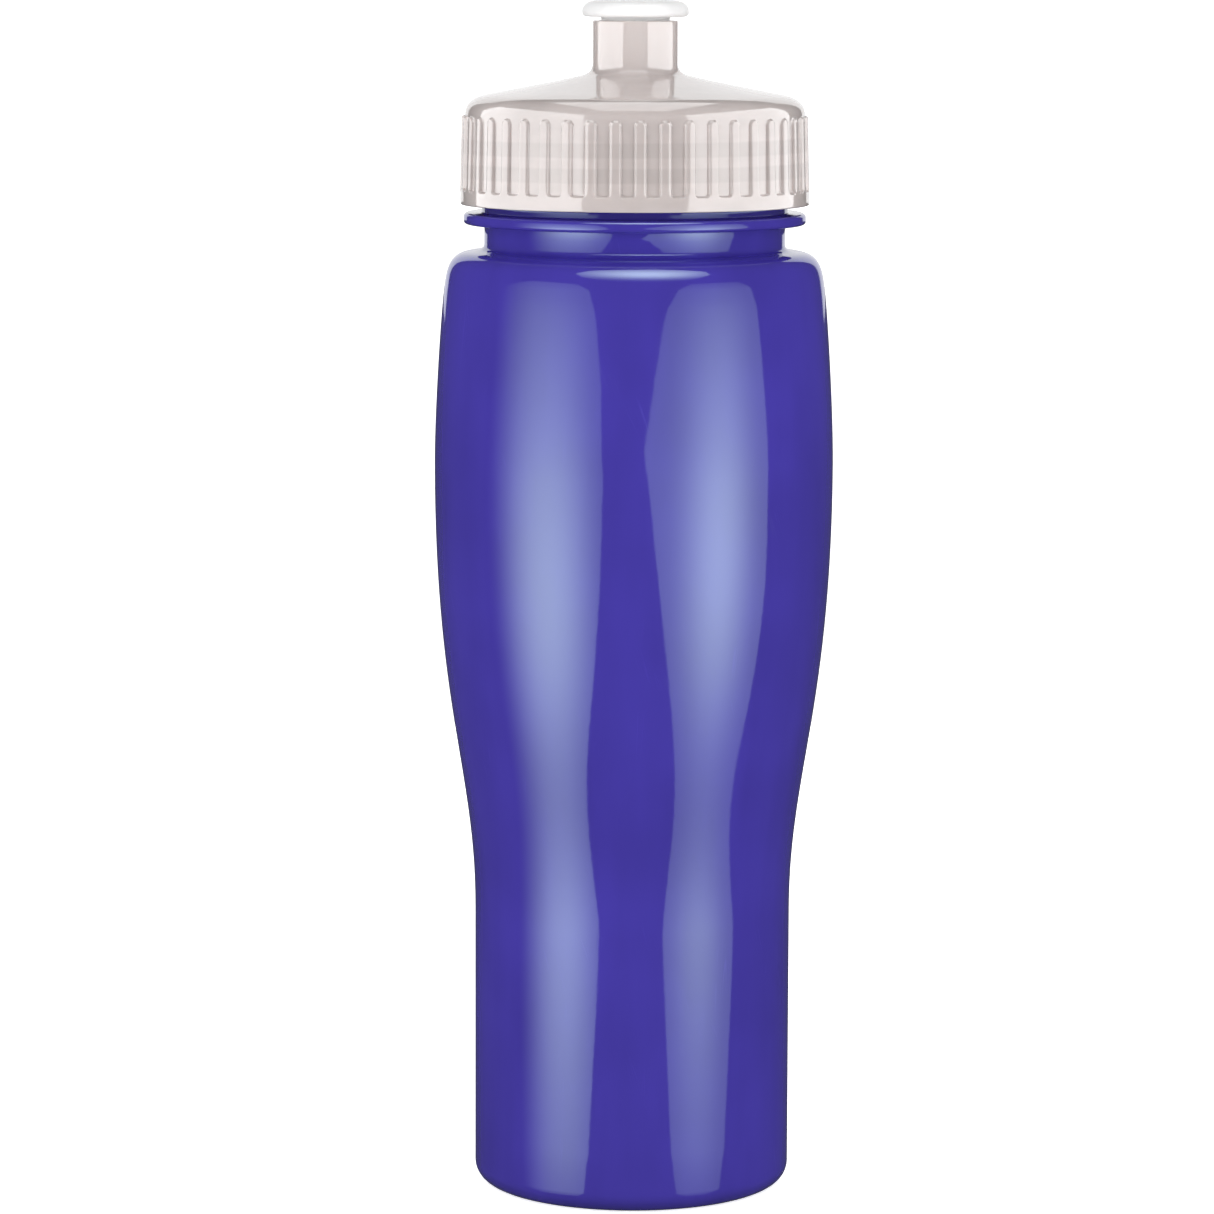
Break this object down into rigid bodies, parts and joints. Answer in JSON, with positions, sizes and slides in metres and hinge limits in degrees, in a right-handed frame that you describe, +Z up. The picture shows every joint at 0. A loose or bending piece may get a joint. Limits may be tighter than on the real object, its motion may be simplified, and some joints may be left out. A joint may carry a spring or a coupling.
{
  "type": "sports squeeze bottle",
  "caption": "Waisted plastic squeeze bottle with a wide screw-on lid, ribbed for grip, and a push-pull drinking valve on a short tower.",
  "frame": {"origin": "centre of the foot ring, on the surface the bottle stands on", "axes": "+Z up along the bottle's axis of revolution, from the foot to the valve; -Y is the front and +X is to the right"},
  "size_m": [0.0786, 0.0786, 0.235],
  "materials": {
    "bottle_blue": "gloss, lightly scuffed",
    "lid_frosted": "translucent, milky, semi-gloss",
    "washer_foam": "closed-cell foam",
    "valve_white": "satin"
  },
  "bodies": {
    "bottle": {"bottle": "bottle_blue"},
    "washer": {"sealing_washer": "washer_foam"},
    "lid": {"screw_lid": "lid_frosted"},
    "valve": {"push_pull_valve": "valve_white"}
  },
  "joints": [
    {"name": "lid_rise", "type": "slide", "parent": "bottle", "child": "washer", "axis": [0, 0, 1], "range_m": [0, 0.0191]},
    {"name": "lid_turn", "type": "hinge", "parent": "washer", "child": "lid", "pos_m": [0, 0, 0.2], "axis": [0, 0, 1], "range_deg": [0, 1620]},
    {"name": "valve_pull", "type": "slide", "parent": "lid", "child": "valve", "axis": [0, 0, 1], "range_m": [0, 0.006]}
  ],
  "couplings": [
    {"joint": "lid_rise", "follows": "lid_turn", "m_per_rad": 0.00067376}
  ]
}
